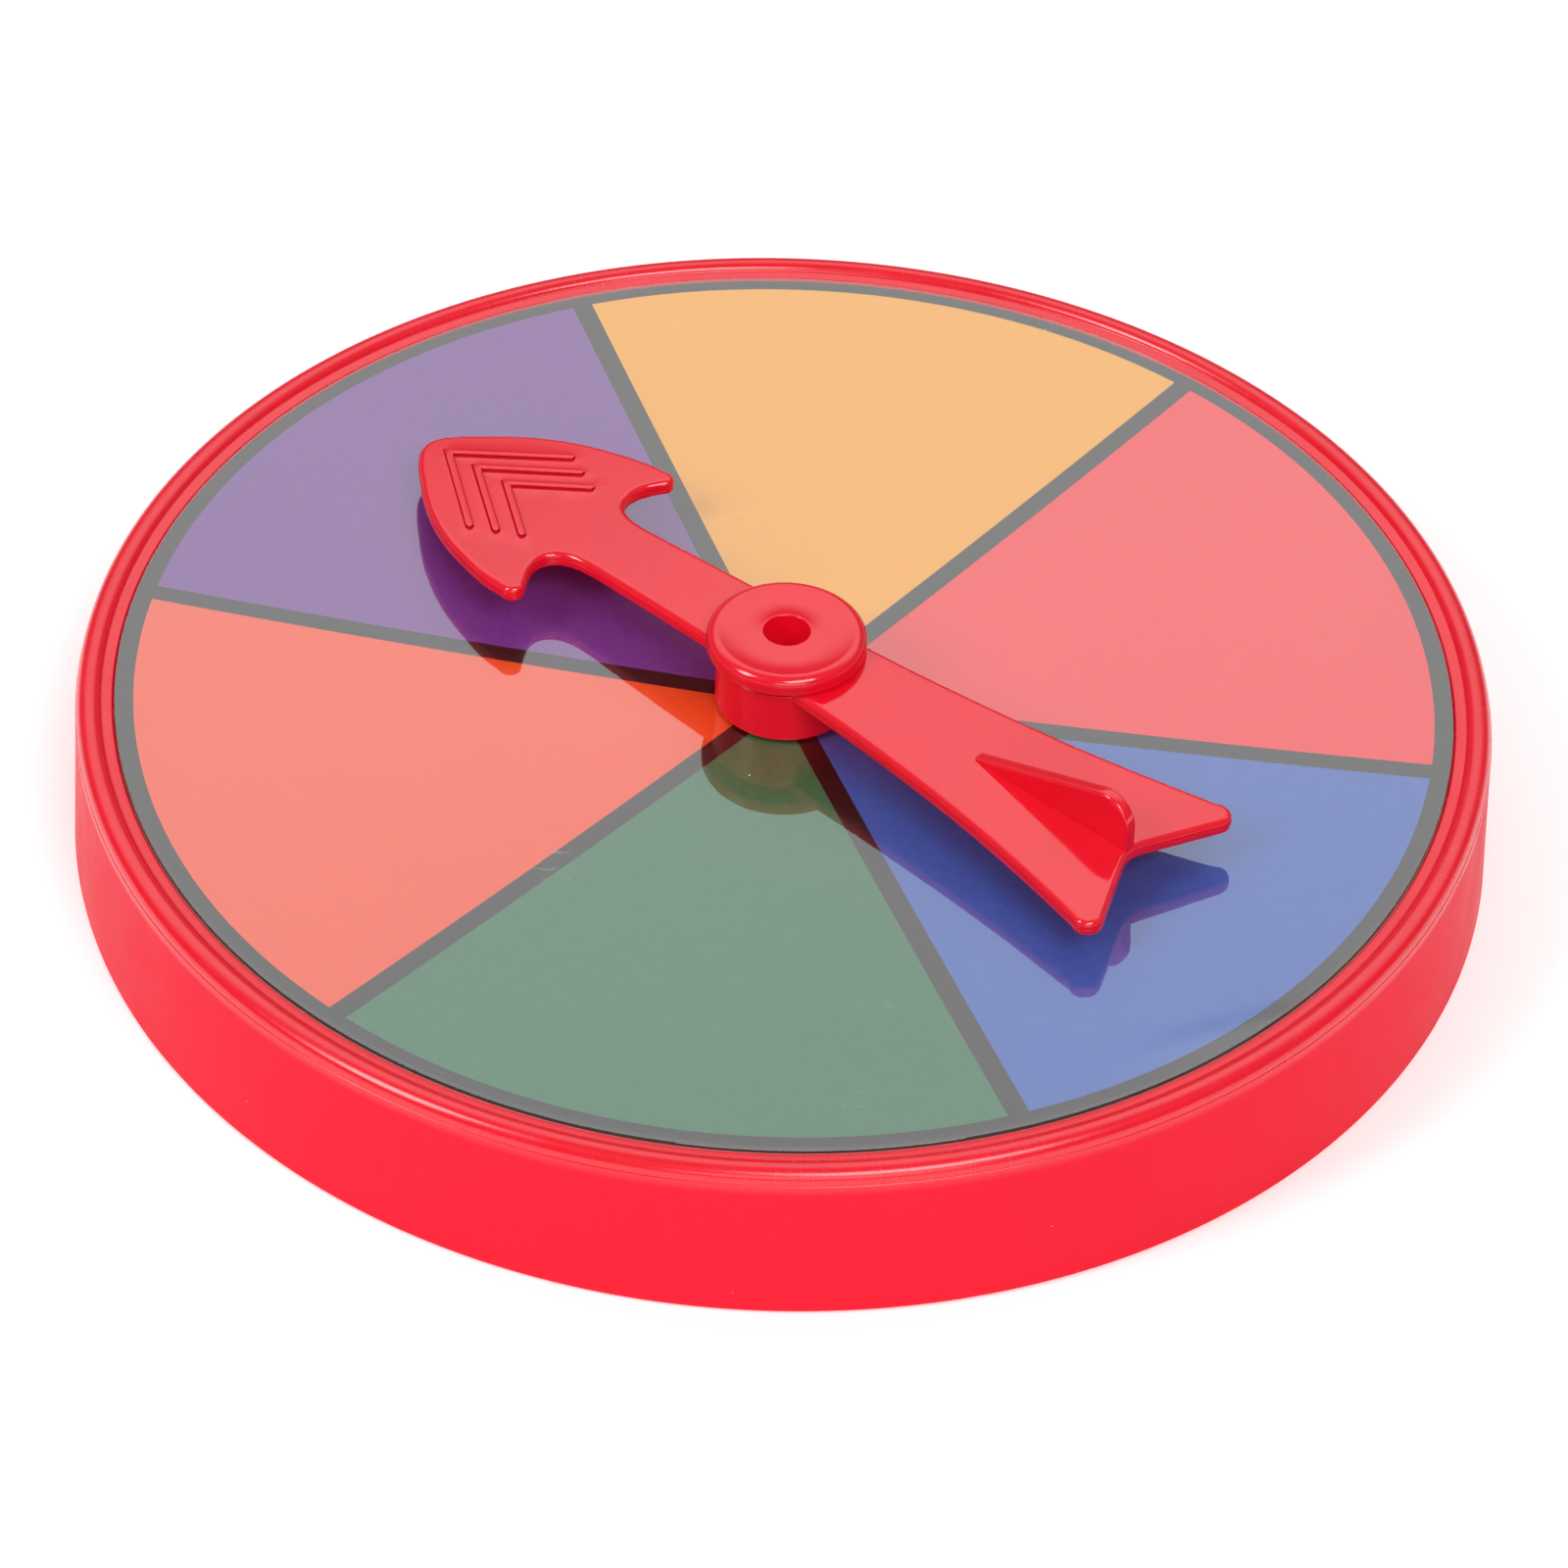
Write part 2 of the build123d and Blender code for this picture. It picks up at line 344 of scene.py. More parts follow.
def red_plastic(name, base, dark, light, rough, spec, streaks=False, seed=0.0):
    """Moulded red plastic with flow mottling, fine scuffs, dust, a faint painted glow and, on the tray, turned
    streaks and a painted paler sheen on the outer wall.
    """
    m = Nodes(name)
    ang, rad, z = m.polar()
    cloud = m.noise(m.coord, 90.0, 4.0, 0.55)
    fine = m.noise(m.coord, 2600.0, 2.0, 0.6)
    col = m.mix(m.ramp(cloud, 0.35, 0.70), base, dark)
    col = m.mix(m.ramp(fine, 0.55, 0.85, 0.0, 0.22), col, light)
    rgh = m.ramp(m.noise(m.coord, 240.0, 4.0, 0.6), 0.3, 0.75, rough * 0.8, rough * 1.3)
    height = m.noise(m.coord, 3200.0, 3.0, 0.55)
    normal = m.bump(height, 4e-6, 0.5)
    if streaks:
        # fine streaks that run across the rim bead, in patches
        across = m.noise(m.vec(m.math("MULTIPLY", ang, 330.0), m.math("MULTIPLY", rad, 500.0), m.math("MULTIPLY", z, 500.0)), 1.0, 2.0, 0.7)
        patch = m.ramp(m.noise(m.coord, 60.0, 2.0, 0.5), 0.38, 0.62)
        bead = m.math("MULTIPLY", m.ramp(z, 0.0112, 0.0117), patch)
        line = m.math("MULTIPLY", m.ramp(across, 0.45, 0.75), bead)
        col = m.mix(m.math("MULTIPLY", line, 0.35), col, light)
        rgh = m.math("ADD", rgh, m.math("MULTIPLY", line, 0.10), clamp=True)
        normal = m.bump(m.math("MULTIPLY", across, bead), 1.2e-5, 0.6, normal)
        # long faint marks round the wall
        round_ = m.noise(m.vec(m.math("MULTIPLY", ang, 3.0), m.math("MULTIPLY", z, 1500.0), 0.0), 1.0, 3.0, 0.6)
        col = m.mix(m.ramp(round_, 0.62, 0.85, 0.0, 0.18), col, dark)
        # painted sheen: the outer wall's colour is made paler than the bead's, standing in for the pale sheen of its
        # finely matt mould texture; the wall is also rougher, the bead polished
        col = m.mix(m.ramp(z, 0.0106, 0.0116, 0.40, 0.0), col, light)
        rgh = m.math("ADD", rgh, m.ramp(z, 0.0106, 0.0116, 0.18, 0.0), clamp=True)
    # hair scratches
    wv = m.noise(m.scaled(m.coord, (900.0, 60.0, 700.0)), 1.0, 2.0, 0.5)
    hair = m.ramp(m.math("ABSOLUTE", m.math("SUBTRACT", wv, 0.5)), 0.0, 0.006, 1.0, 0.0)
    hair = m.math("MULTIPLY", hair, m.ramp(m.noise(m.coord, 130.0, 2.0, 0.5), 0.60, 0.70))
    col = m.mix(m.math("MULTIPLY", hair, 0.25), col, light)
    dust = m.specks(0.0021, 0.000065, 0.10, seed + 0.3)
    col = m.mix(m.math("MULTIPLY", dust, 0.75), col, (0.95, 0.62, 0.62, 1))
    m.put(m.bsdf.inputs["Base Color"], col)
    m.put(m.bsdf.inputs["Roughness"], rgh)
    m.put(m.bsdf.inputs["Normal"], normal)
    m.bsdf.inputs["IOR"].default_value = 1.5
    if streaks:
        # the outer wall is duller than the polished bead and ledge
        m.put(m.bsdf.inputs["Specular IOR Level"], m.ramp(z, 0.0106, 0.0116, 0.05, spec))
    else:
        # upright faces are left with less mould polish than the flat ones
        tilt = m.add("ShaderNodeSeparateXYZ")
        m.link(m.add("ShaderNodeTexCoord").outputs["Normal"], tilt.inputs[0])
        upright = m.ramp(m.math("ABSOLUTE", tilt.outputs[2]), 0.03, 0.30)
        m.put(m.bsdf.inputs["Specular IOR Level"], m.math("MULTIPLY_ADD", upright, spec * 0.78, spec * 0.22))
        rgh = m.math("ADD", rgh, m.ramp(upright, 0.0, 1.0, 0.22, 0.0))
        m.put(m.bsdf.inputs["Roughness"], rgh)
    # painted glow: a faint red emission stands in for light that leaks through the thin walls
    m.bsdf.inputs["Emission Color"].default_value = (1.0, 0.004, 0.020, 1)
    m.bsdf.inputs["Emission Strength"].default_value = 0.10
    return m.mat


def print_ink(name, colour, deep, pale, strength=1.0):
    """Offset ink on coated card: fine halftone grain, slow density drift and pinholes."""
    m = Nodes(name)
    grain = m.noise(m.coord, 6500.0, 2.0, 0.8)
    mott = m.noise(m.coord, 1500.0, 3.0, 0.65)
    drift = m.noise(m.coord, 38.0, 2.0, 0.5)
    col = m.mix(m.ramp(drift, 0.3, 0.7, 0.0, 0.30 * strength), colour, deep)
    col = m.mix(m.ramp(mott, 0.42, 0.72, 0.0, 0.40 * strength), col, pale)
    col = m.mix(m.ramp(grain, 0.50, 0.80, 0.0, 0.45 * strength), col, deep)
    pin = m.specks(0.0012, 0.00005, 0.05, 0.9)
    col = m.mix(m.math("MULTIPLY", pin, 0.5), col, pale)
    m.put(m.bsdf.inputs["Base Color"], col)
    m.put(m.bsdf.inputs["Roughness"], m.ramp(mott, 0.3, 0.7, 0.32, 0.45))
    m.put(m.bsdf.inputs["Normal"], m.bump(grain, 3e-6, 0.4))
    m.bsdf.inputs["Specular IOR Level"].default_value = 0.35
    return m.mat


RED = (0.73, 0.0035, 0.0180, 1)
RED_DARK = (0.67, 0.0022, 0.0135, 1)
RED_LIGHT = (0.80, 0.030, 0.060, 1)
tray_mat = red_plastic("tray_red_plastic", RED, RED_DARK, RED_LIGHT, 0.20, 0.70, streaks=True)
arrow_mat = red_plastic("pointer_red_plastic", RED, RED_DARK, RED_LIGHT, 0.10, 0.72, seed=1.7)
# a darker, low-gloss copy of the red plastic: painted shade for the dark crease lines along the chevron rib walls
rib_wall_painted_shade_mat = red_plastic("pointer_rib_wall_painted_shade", (0.36, 0.0012, 0.008, 1), (0.30, 0.001, 0.006, 1), (0.42, 0.006, 0.016, 1), 0.30, 0.10, seed=2.2)
pin_mat = red_plastic("pin_red_plastic", RED, RED_DARK, RED_LIGHT, 0.13, 0.68, seed=3.1)

inks = [
    print_ink("ink_black", (0.008, 0.007, 0.006, 1), (0.003, 0.003, 0.003, 1), (0.018, 0.016, 0.014, 1)),
    print_ink("ink_yellow", (0.93, 0.415, 0.010, 1), (0.88, 0.37, 0.007, 1), (0.95, 0.48, 0.030, 1)),
    print_ink("ink_coral", (0.92, 0.011, 0.022, 1), (0.87, 0.007, 0.015, 1), (0.95, 0.030, 0.040, 1)),
    print_ink("ink_blue", (0.033, 0.125, 0.49, 1), (0.024, 0.100, 0.43, 1), (0.065, 0.17, 0.55, 1)),
    print_ink("ink_green", (0.022, 0.175, 0.072, 1), (0.015, 0.145, 0.056, 1), (0.055, 0.23, 0.12, 1)),
    print_ink("ink_orange", (0.93, 0.082, 0.010, 1), (0.89, 0.066, 0.007, 1), (0.95, 0.12, 0.028, 1)),
    print_ink("ink_purple", (0.185, 0.045, 0.31, 1), (0.150, 0.032, 0.26, 1), (0.24, 0.080, 0.37, 1)),
]


def card_board():
    m = Nodes("card_board")
    fib = m.noise(m.scaled(m.coord, (900.0, 2600.0, 2600.0)), 1.0, 4.0, 0.7)
    col = m.mix(m.ramp(fib, 0.35, 0.7), (0.62, 0.58, 0.50, 1), (0.74, 0.71, 0.64, 1))
    m.put(m.bsdf.inputs["Base Color"], col)
    m.bsdf.inputs["Roughness"].default_value = 0.85
    m.put(m.bsdf.inputs["Normal"], m.bump(fib, 2e-5, 0.6))
    return m.mat


inks.append(card_board())


def film_surface(name, f0, haze):
    """Clear glossy film: sharp mirror gloss by Fresnel over a see-through sheet, with dust, hairs and haze."""
    m = Nodes(name)
    b = m.bsdf
    b.inputs["Base Color"].default_value = (0.97, 0.97, 0.97, 1)
    b.inputs["Metallic"].default_value = 1.0
    ripple = m.noise(m.coord, 520.0, 2.0, 0.5)
    swell = m.noise(m.coord, 95.0, 2.0, 0.5)
    normal = m.bump(swell, 6e-6, 1.0)
    normal = m.bump(ripple, 2.2e-6, 1.0, normal)
    m.put(b.inputs["Normal"], normal)
    m.put(b.inputs["Roughness"], m.ramp(m.noise(m.coord, 300.0, 3.0, 0.6), 0.3, 0.8, 0.0, 0.02))
    # mirror share by angle, the same from above and below: f0 + (1 - f0) * (1 - cos)^5
    facing = m.add("ShaderNodeLayerWeight")
    facing.inputs["Blend"].default_value = 0.5
    share = m.math("MULTIPLY_ADD", m.math("POWER", facing.outputs["Facing"], 5.0), 1.0 - f0, f0)
    glass = m.add("ShaderNodeBsdfTransparent")
    glass.inputs["Color"].default_value = (0.985, 0.985, 0.985, 1)
    mirror = m.add("ShaderNodeMixShader")
    m.link(share, mirror.inputs[0])
    m.link(glass.outputs[0], mirror.inputs[1])
    m.link(b.outputs[0], mirror.inputs[2])
    # dust, fine hairs and haze lie on the film as a thin white layer
    dust = m.math("MAXIMUM", m.specks(0.0030, 0.000085, 0.16, 0.11), m.specks(0.0013, 0.000045, 0.07, 0.53))
    wv = m.noise(m.scaled(m.coord, (260.0, 1500.0, 1.0)), 1.0, 1.0, 0.5)
    hair = m.ramp(m.math("ABSOLUTE", m.math("SUBTRACT", wv, 0.5)), 0.0, 0.004, 1.0, 0.0)
    hair = m.math("MULTIPLY", hair, m.ramp(m.noise(m.coord, 85.0, 2.0, 0.5), 0.66, 0.72))
    veil = m.math("ADD", m.math("MULTIPLY", dust, 0.8), m.math("MULTIPLY", hair, 0.25))
    veil = m.math("ADD", veil, haze, clamp=True)
    white = m.add("ShaderNodeBsdfDiffuse")
    white.inputs["Color"].default_value = (0.92, 0.92, 0.92, 1)
    both = m.add("ShaderNodeMixShader")
    m.link(veil, both.inputs[0])
    m.link(mirror.outputs[0], both.inputs[1])
    m.link(white.outputs[0], both.inputs[2])
    m.link(both.outputs[0], m.out.inputs["Surface"])
    return m.mat


film_top_mat = film_surface("clear_film_top", 0.135, 0.0)


# --------------------------------------------------------------------- dish
LAND_R, LAND_DZ, MID_R, MID_DZ, EDGE_DZ = 6.0, -1.53, 25.0, -1.02, 0.075


def circle3(p, q, r):
    (ax, ay), (bx, by), (cx, cy) = p, q, r
    d = 2 * (ax * (by - cy) + bx * (cy - ay) + cx * (ay - by))
    ux = ((ax**2 + ay**2) * (by - cy) + (bx**2 + by**2) * (cy - ay) + (cx**2 + cy**2) * (ay - by)) / d
    uy = ((ax**2 + ay**2) * (cx - bx) + (bx**2 + by**2) * (ax - cx) + (cx**2 + cy**2) * (bx - ax)) / d
    return ux, uy, math.hypot(ax - ux, ay - uy)


DISH = circle3(
    (LAND_R, DISC_Z + LAND_DZ), (MID_R, DISC_Z + MID_DZ), (DISC_R, DISC_Z + EDGE_DZ)
)


def dish_z(r, drop=0.0):
    if r <= LAND_R:
        return DISC_Z + LAND_DZ - drop
    cx, cy, rad = DISH
    r = min(r, DISC_R)
    return cy - math.sqrt(rad * rad - (r - cx) ** 2) - drop


# ------------------------------------------------------------------- tray
def make_tray():
    wall_t = 1.6
    drop = CARD_DROP + CARD_T
    low = drop + 1.6
    foot, crest_z = FOOT_R, CREST_Z
    bore, boss_r, boss_z = 2.42, 4.7, 4.6
    floor_z = dish_z(0, drop)
    prof = []
    # dish floor, from the bore outwards
    prof += [(bore, floor_z - 0.12), (bore + 0.035, floor_z - 0.035), (bore + 0.12, floor_z)]
    rs = [3.2, 4.5, LAND_R - 0.35, LAND_R, LAND_R + 0.35] + list(np.linspace(7.5, DISC_R - 0.4, 26))
    prof += [(r, dish_z(r, drop)) for r in rs]
    edge_z = dish_z(DISC_R, drop)
    # recess wall, ledge and the step up to the rim bead
    prof += fillet_open(
        [(DISC_R - 0.4, edge_z - 0.012), (47.85, edge_z), (47.85, 11.93), (48.66, 11.97)],
        [0, 0.06, 0.09, 0], 4,
    )[1:-1]
    prof += [(48.40, 11.955), (48.58, 11.968)]
    # concave crease, then the bead over its crest and down to the shoulder
    prof += [(48.64, 11.985), (48.672, 12.015), (48.70, 12.06)]
    prof += arc3((48.73, 12.125), (48.99, 12.365), (49.45, crest_z), 7)
    prof += arc3((49.45, crest_z), (50.13, 12.19), (50.405, 11.55), 11)[1:]
    prof += [(50.412, 11.475), (50.420, 11.435), (50.448, 11.405), (50.470, 11.385), (50.475, 11.33)]
    # drafted wall down to the foot
    for t in np.linspace(0.06, 0.97, 12):
        prof.append((50.46 + (foot - 50.46) * (0.98 * t), 11.40 + (0.35 - 11.40) * t))
    prof += fillet_open(
        [(foot - 0.02, 0.75), (foot, 0.30), (foot - 0.30, 0.0), (foot - wall_t + 0.25, 0.0), (foot - wall_t, 0.25), (48.95, 7.0)],
        [0, 0.25, 0.25, 0.2, 0.2, 0], 4,
    )[1:-1]
    prof += [(49.36, 0.6), (49.20, 3.0), (49.02, 5.6), (48.84, 7.9)]
    prof += arc3((50.46 - wall_t - 0.05, 8.4), (50.46 - wall_t - 0.40, 9.25), (DISC_R, dish_z(DISC_R, low)), 8)
    # underside of the plate, back to the boss
    rs = list(np.linspace(DISC_R - 1.0, LAND_R + 0.4, 24)) + [LAND_R]
    prof += [(r, dish_z(r, low)) for r in rs]
    under_z = dish_z(0, low)
    prof += fillet_open(
        [(LAND_R, under_z), (boss_r, under_z), (boss_r - 0.15, boss_z), (bore + 0.25, boss_z), (bore, boss_z + 0.25), (bore, floor_z - 0.12)],
        [0, 0.4, 0.15, 0.05, 0.05, 0], 5,
    )[1:-1]
    prof += [(bore, 5.2), (bore, floor_z - 0.4)]
    bm = bmesh.new()
    lathe(bm, prof, 360)
    body = new_object("tray_shell", bm)
    # six gussets between the boss and the plate
    gm = bmesh.new()
    for k in range(6):
        a = math.radians(30 + 60 * k)
        side = [(3.5, under_z + 0.6), (12.5, under_z + 0.6), (12.5, under_z - 0.2), (4.6, boss_z + 0.8), (3.5, boss_z + 0.8)]
        lo, hi = [], []
        for half in (-1, 1):
            for r, z in side:
                # a little draft: thinner towards the free edge
                w = half * (0.5 - 0.015 * (under_z + 0.6 - z))
                v = gm.verts.new((r * math.cos(a) - w * math.sin(a), r * math.sin(a) + w * math.cos(a), z))
                (lo if half < 0 else hi).append(v)
        gm.faces.new(lo)
        gm.faces.new(hi[::-1])
        for i in range(5):
            j = (i + 1) % 5
            gm.faces.new((lo[i], hi[i], hi[j], lo[j]))
    webs = new_object("gusset_tool", gm)
    boolean(body, webs, "UNION")
    finish_shading(body, "tray_shell")
    return body


def fillet_open(points, radii, steps=5):
    """Open polyline with rounded corners."""
    out = [points[0]]
    for i in range(1, len(points) - 1):
        tri = [points[i - 1], points[i], points[i + 1]]
        out += fillet(tri, [0, radii[i], 0], steps)[1:-1]
    out.append(points[-1])
    return out


# ------------------------------------------------------------------- card
SECTOR_EDGES = [110.9, 50.9, -9.1, -69.1, -129.1, -189.1]  # clockwise from the far divider
SECTOR_INK = [1, 2, 3, 4, 5, 6]                            # yellow, coral, blue, green, orange, purple


def ray_circle(p, d, centre, radius):
    """Far crossing of the ray p + t d with a circle."""
    q = Vector(p) - Vector(centre)
    b = q.dot(d)
    c = q.dot(q) - radius * radius
    t = -b + math.sqrt(b * b - c)
    return Vector(p) + Vector(d) * t


def make_card():
    bm = bmesh.new()
    centre = Vector(PRINT_C)
    rows, cols = 44, 26
    card_drop = CARD_DROP

    def pt(xy, drop=card_drop):
        return bm.verts.new((xy.x, xy.y, dish_z(xy.length, drop)))

    def grid(points, ink):
        verts = [[pt(p) for p in row] for row in points]
        for i in range(len(verts) - 1):
            for j in range(len(verts[0]) - 1):
                f = bm.faces.new((verts[i][j], verts[i][j + 1], verts[i + 1][j + 1], verts[i + 1][j]))
                f.material_index = ink

    def divider_line(a, side):
        d = Vector((math.cos(a), math.sin(a)))
        n = Vector((-d.y, d.x))
        p = centre + n * (side * LINE_W / 2)
        inner = ray_circle(p, d, (0, 0), HOLE_R)
        ring = ray_circle(p, d, centre, RING_IN)
        return inner, ring

    ring_pts = []
    for k in range(6):
        a_hi = math.radians(SECTOR_EDGES[k])
        a_lo = a_hi - math.radians(60)
        # this sector runs clockwise from divider a_hi to divider a_lo
        i0, o0 = divider_line(a_hi, -1)
        i1, o1 = divider_line(a_lo, 1)
        ia0, ia1 = math.atan2(i0.y, i0.x), math.atan2(i1.y, i1.x)
        q0, q1 = o0 - centre, o1 - centre
        oa0, oa1 = math.atan2(q0.y, q0.x), math.atan2(q1.y, q1.x)
        while ia1 > ia0:
            ia1 -= TAU
        while oa1 > oa0:
            oa1 -= TAU
        pts = []
        for i in range(rows + 1):
            t = i / rows
            row = []
            for j in range(cols + 1):
                s = j / cols
                ia = ia0 + (ia1 - ia0) * s
                oa = oa0 + (oa1 - oa0) * s
                a = Vector((HOLE_R * math.cos(ia), HOLE_R * math.sin(ia)))
                b = centre + Vector((RING_IN * math.cos(oa), RING_IN * math.sin(oa)))
                row.append(a.lerp(b, t))
            pts.append(row)
        grid(pts, SECTOR_INK[k])
        # divider at a_hi, between the previous sector and this one
        j0, p0 = divider_line(a_hi, 1)
        strip = []
        for i in range(rows + 1):
            t = i / rows
            l, r = j0.lerp(p0, t), i0.lerp(o0, t)
            strip.append([l, l.lerp(r, 0.5), r])
        grid(strip, 0)
        ring_pts += [p0, p0.lerp(o0, 0.5)] + pts[-1][:-1]
    # printed ring out to the cut edge
    n = len(ring_pts)
    ring_rows = []
    for p in ring_pts:
        d = (p - centre).normalized()
        outer = ray_circle(centre, d, (0, 0), DISC_R)
        ring_rows.append([p, p.lerp(outer, 0.5), outer.lerp(p, 0.03), outer])
    grid(ring_rows + ring_rows[:1], 0)
    bmesh.ops.remove_doubles(bm, verts=bm.verts, dist=1e-4)
    # body of the card: both cut edges and the back
    top_edges = [e for e in bm.edges if e.is_boundary]
    ext = bmesh.ops.extrude_edge_only(bm, edges=top_edges)
    new = [v for v in ext["geom"] if isinstance(v, bmesh.types.BMVert)]
    for v in new:
        v.co.z -= CARD_T
    for f in [f for f in ext["geom"] if isinstance(f, bmesh.types.BMFace)]:
        f.material_index = 7
    inner = [v for v in new if math.hypot(v.co.x, v.co.y) < 10]
    outer = [v for v in new if math.hypot(v.co.x, v.co.y) > 10]
    inner.sort(key=lambda v: math.atan2(v.co.y, v.co.x))
    outer.sort(key=lambda v: math.atan2(v.co.y, v.co.x))
    # back surface: rings between the hole and the rim, joined by matching angle
    segs = 240
    radii = [HOLE_R + 0.4, LAND_R, 9, 14, 20, 26, 32, 38, 43, DISC_R - 0.3]
    rings = [
        [bm.verts.new((r * math.cos(TAU * k / segs - math.pi), r * math.sin(TAU * k / segs - math.pi), dish_z(r, card_drop + CARD_T))) for k in range(segs)]
        for r in radii
    ]
    for a, b in zip(rings, rings[1:]):
        for k in range(segs):
            j = (k + 1) % segs
            f = bm.faces.new((a[k], a[j], b[j], b[k]))
            f.material_index = 7

    def stitch(a, b):
        """Triangles between two angle-sorted closed loops."""
        def angs(loop):
            return [math.atan2(v.co.y, v.co.x) for v in loop]
        aa, ba = angs(a), angs(b)
        i = j = 0
        na, nb = len(a), len(b)
        while i < na or j < nb:
            nxt_a = aa[i + 1] if i + 1 < na else aa[(i + 1) % na] + TAU
            nxt_b = ba[j + 1] if j + 1 < nb else ba[(j + 1) % nb] + TAU
            if j >= nb or (i < na and nxt_a <= nxt_b):
                tri = (a[i % na], a[(i + 1) % na], b[j % nb])
                i += 1
            else:
                tri = (a[i % na], b[(j + 1) % nb], b[j % nb])
                j += 1
            f = bm.faces.new(tri)
            f.material_index = 7

    stitch(inner, rings[0])
    stitch(rings[-1], outer)
    ob = new_object("printed_sector_disc", bm)
    for mat in inks:
        ob.data.materials.append(mat)
    return ob


# ------------------------------------------------------------------- film
def make_film():
    bm = bmesh.new()
    prof = [(HOLE_R, dish_z(HOLE_R, CARD_DROP) + 0.004), (HOLE_R, dish_z(HOLE_R) - 0.03), (HOLE_R + 0.03, dish_z(HOLE_R))]
    top = [4.4, LAND_R - 0.4, LAND_R, LAND_R + 0.4] + list(np.linspace(7.4, DISC_R - 0.5, 46)) + [DISC_R - 0.12]
    prof += [(r, dish_z(r)) for r in top]
    prof += [(DISC_R - 0.03, dish_z(DISC_R) - 0.008), (DISC_R, dish_z(DISC_R) - 0.05), (DISC_R, dish_z(DISC_R, CARD_DROP) + 0.004)]
    under = [DISC_R - 0.12] + list(np.linspace(DISC_R - 0.5, 7.4, 46)) + [LAND_R + 0.4, LAND_R, LAND_R - 0.4, 4.4]
    n_top = len(prof)
    prof += [(r, dish_z(r, CARD_DROP) + 0.004) for r in under]
    rings = lathe(bm, prof, 360)
    bm.faces.ensure_lookup_table()
    segs = 360
    for i, f in enumerate(bm.faces):
        f.material_index = 1 if i // segs >= n_top - 1 else 0
    # the film isn't laid dead flat: a shallow lifted fold near the right front edge
    fold_a, fold_b = Vector((25.0, -37.2)), Vector((36.2, -32.2))
    axis = (fold_b - fold_a)
    length = axis.length
    axis.normalize()
    side = Vector((-axis.y, axis.x))
    for v in bm.verts:
        p = Vector((v.co.x, v.co.y)) - fold_a
        s, t = p.dot(axis) / length, p.dot(side)
        if -0.3 < s < 1.3 and abs(t) < 4:
            w = math.exp(-((t / 0.9) ** 2)) * max(0.0, math.sin(math.pi * (s + 0.3) / 1.6)) ** 2
            v.co.z += 0.05 * w
    ob = new_object("clear_film_sheet", bm)
    ob.data.materials.append(film_top_mat)
    ob.data.materials.append(film_bottom_mat)
    return ob


def clear_only():
    m = Nodes("clear_film_back")
    glass = m.add("ShaderNodeBsdfTransparent")
    tint = m.noise(m.coord, 40.0, 2.0, 0.5)
    m.put(glass.inputs["Color"], m.mix(tint, (0.985, 0.985, 0.985, 1), (0.975, 0.98, 0.985, 1)))
    m.link(glass.outputs[0], m.out.inputs["Surface"])
    m.nt.nodes.remove(m.bsdf)
    return m.mat


film_bottom_mat = clear_only()


# ---------------------------------------------------------------- pointer
ANGLE = math.radians(140.1)
BLADE_V = -0.28                        # the blade's centreline runs this far beside the pivot
THICK = 1.15


def fall(u):
    return (0.84 if u > 0 else 0.44) * (u / 34.0) ** 2


def spline(points, t0, t1, step):
    """Clamped cubic spline through the points, with chord-length spacing."""
    P = np.array(points, float)
    h = np.linalg.norm(np.diff(P, axis=0), axis=1)
    n = len(P)
    t0 = np.array(t0, float) / np.linalg.norm(t0)
    t1 = np.array(t1, float) / np.linalg.norm(t1)
    A = np.zeros((n, n))
    B = np.zeros((n, 2))
    A[0, 0] = A[-1, -1] = 1
    B[0], B[-1] = t0, t1
    for i in range(1, n - 1):
        A[i, i - 1] = h[i]
        A[i, i] = 2 * (h[i - 1] + h[i])
        A[i, i + 1] = h[i - 1]
        B[i] = 3 * (h[i] * (P[i] - P[i - 1]) / h[i - 1] + h[i - 1] * (P[i + 1] - P[i]) / h[i])
    D = np.linalg.solve(A, B)
    out = []
    for i in range(n - 1):
        m = max(1, int(math.ceil(h[i] / step)))
        for k in range(m):
            t = k / m
            a = 2 * t**3 - 3 * t**2 + 1
            b = t**3 - 2 * t**2 + t
            c = -2 * t**3 + 3 * t**2
            d = t**3 - t**2
            out.append(tuple(a * P[i] + b * h[i] * D[i] + c * P[i + 1] + d * h[i] * D[i + 1]))
    return out


def straight(a, b, step):
    m = max(1, int(math.ceil(math.dist(a, b) / step)))
    return [(a[0] + (b[0] - a[0]) * k / m, a[1] + (b[1] - a[1]) * k / m) for k in range(m)]


def arrow_half(barb, hook):
    half = []
    half += spline([(35.55, 0.0), (35.28, 1.0), (34.55, 1.95), (33.30, 3.12)], (0, 1), (-0.76, 0.65), 0.25)
    half += spline(
        [(33.30, 3.12), (31.45, 4.68), (28.20, 6.76), (25.90, 7.74), (23.50, 8.45), (21.30, 8.92), barb[0]],
        (-0.76, 0.65), (-1, 0.04), 0.45,
    )
    half += arc3(*barb, 9)[:-1]
    half += spline([barb[2]] + hook + [(18.65, 3.38), (17.50, 3.06), (15.50, 3.00)], (0.42, -0.60), (-1, 0.02), 0.25)
    half += straight((15.50, 3.00), (-4.30, 3.75), 0.9)
    half += spline(
        [(-4.30, 3.75), (-11.0, 4.30), (-16.5, 4.95), (-20.5, 5.52), (-24.5, 6.22), (-28.5, 7.04), (-32.55, 7.95)],
        (-1, 0.06), (-1, 0.22), 0.9,
    )
    half += arc3((-32.55, 7.95), (-34.08, 7.72), (-34.22, 6.60), 10)[:-1]
    half += straight((-34.22, 6.60), (-31.80, 1.50), 0.4)
    half += arc3((-31.80, 1.50), (-31.43, 0.60), (-31.32, 0.0), 6)[:-1]
    return half


